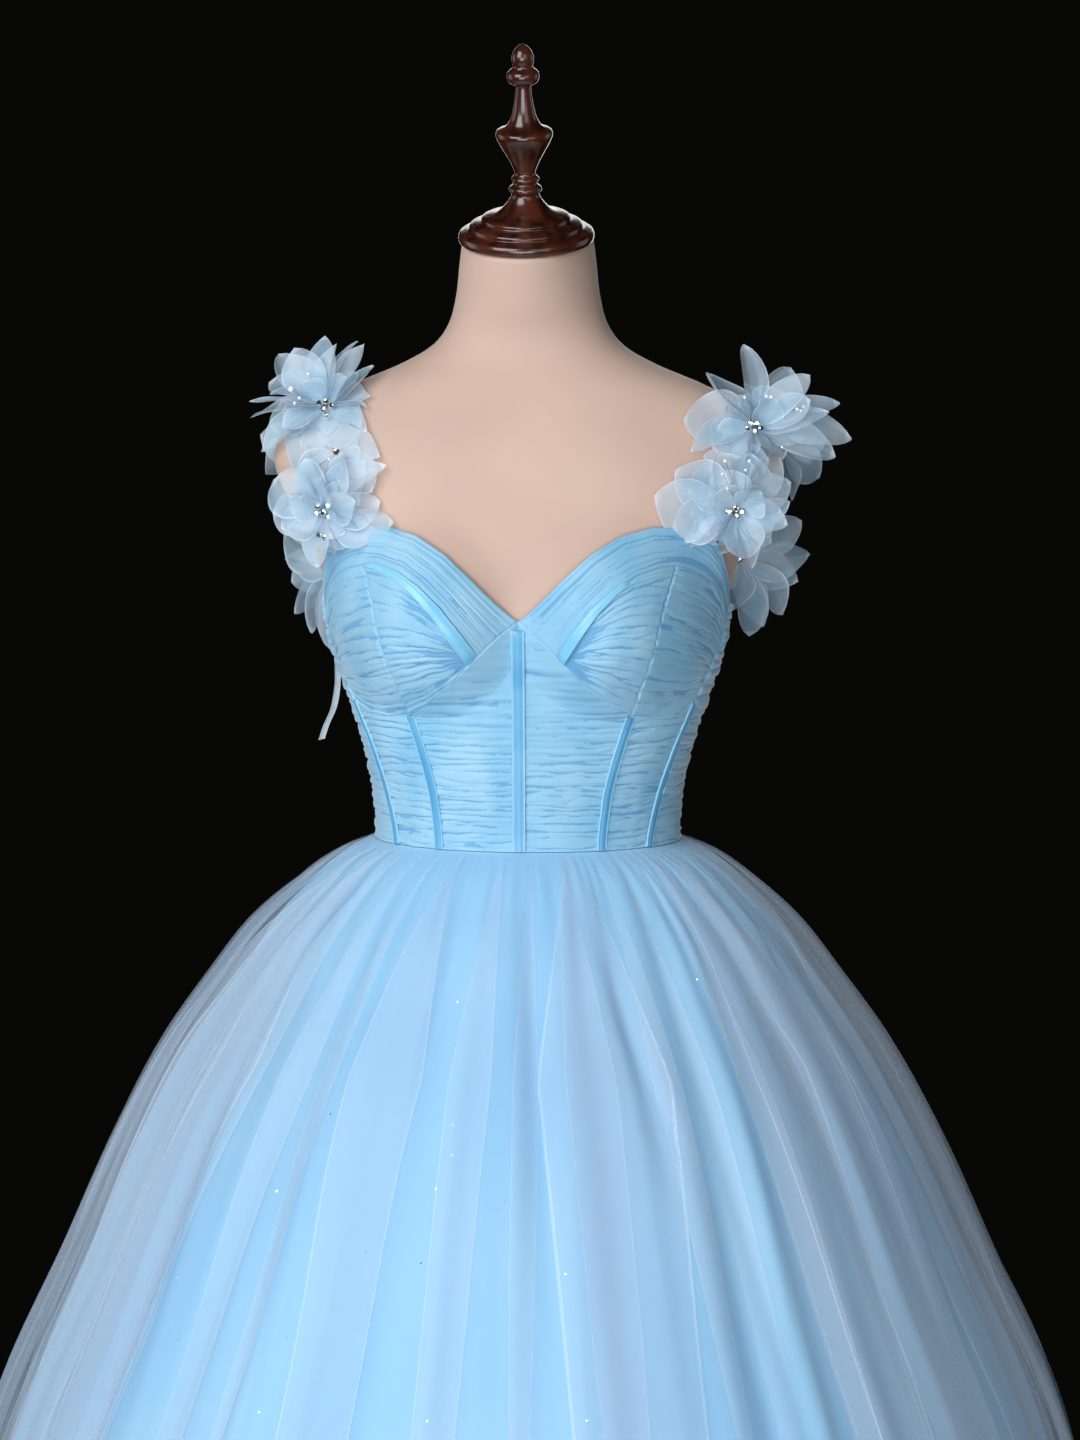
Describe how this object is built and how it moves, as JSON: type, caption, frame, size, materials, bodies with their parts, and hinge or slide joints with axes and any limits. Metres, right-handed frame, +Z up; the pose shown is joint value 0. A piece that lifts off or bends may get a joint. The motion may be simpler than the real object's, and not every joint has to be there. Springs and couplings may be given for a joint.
{
  "type": "tulle ball gown on dress form",
  "caption": "Light blue ball gown with ruched corset bodice, flower straps and full layered tulle skirt, worn by a limbless dress form on a round-based stand.",
  "frame": {"origin": "centre of the stand base's flat underside, on the floor", "axes": "+Z up along the stand, the front of the gown faces -Y, +X toward the wearer's left"},
  "size_m": [1.196, 1.1801, 1.6712],
  "materials": {
    "tulle": "sheer soft tulle",
    "satin": "smooth satin with a soft sheen",
    "ruched_tulle": "tulle gathered in fine ruches over satin",
    "organza": "translucent organza",
    "form_skin": "matte stretch cover over a padded torso",
    "dark_wood": "glossy dark lacquer",
    "stand_metal": "satin black enamel",
    "ribbon": "narrow satin ribbon"
  },
  "bodies": {
    "root": {"back_panel_left": "ruched_tulle", "back_panel_right": "ruched_tulle", "centre_boning": "satin", "cup_front_left": "ruched_tulle", "cup_front_right": "ruched_tulle", "cup_side_left": "ruched_tulle", "cup_side_right": "ruched_tulle", "flower_low_back_a_left": "organza", "flower_low_back_a_right": "organza", "flower_low_front_a_left": "organza", "flower_low_front_a_right": "organza", "flower_low_front_b_left": "organza", "flower_low_front_b_right": "organza", "flower_top_back_a_left": "organza", "flower_top_back_a_right": "organza", "flower_top_front_a_left": "organza", "flower_top_front_a_right": "organza", "flower_top_front_b_left": "organza", "flower_top_front_b_right": "organza", "form_torso": "form_skin", "front_panel_left": "ruched_tulle", "front_panel_right": "ruched_tulle", "hanger_loop": "ribbon", "neck_finial": "dark_wood", "neckline_band_left": "ruched_tulle", "neckline_band_right": "ruched_tulle", "satin_skirt": "satin", "satin_strip_left": "satin", "satin_strip_right": "satin", "side_boning_left": "satin", "side_boning_right": "satin", "side_front_boning_left": "satin", "side_front_boning_right": "satin", "side_front_panel_left": "ruched_tulle", "side_front_panel_right": "ruched_tulle", "side_panel_left": "ruched_tulle", "side_panel_right": "ruched_tulle", "stand_base": "stand_metal", "stand_pole": "stand_metal", "strap_left": "organza", "strap_right": "organza", "tulle_outer_layer": "tulle", "tulle_under_layer": "tulle"}
  },
  "joints": []
}
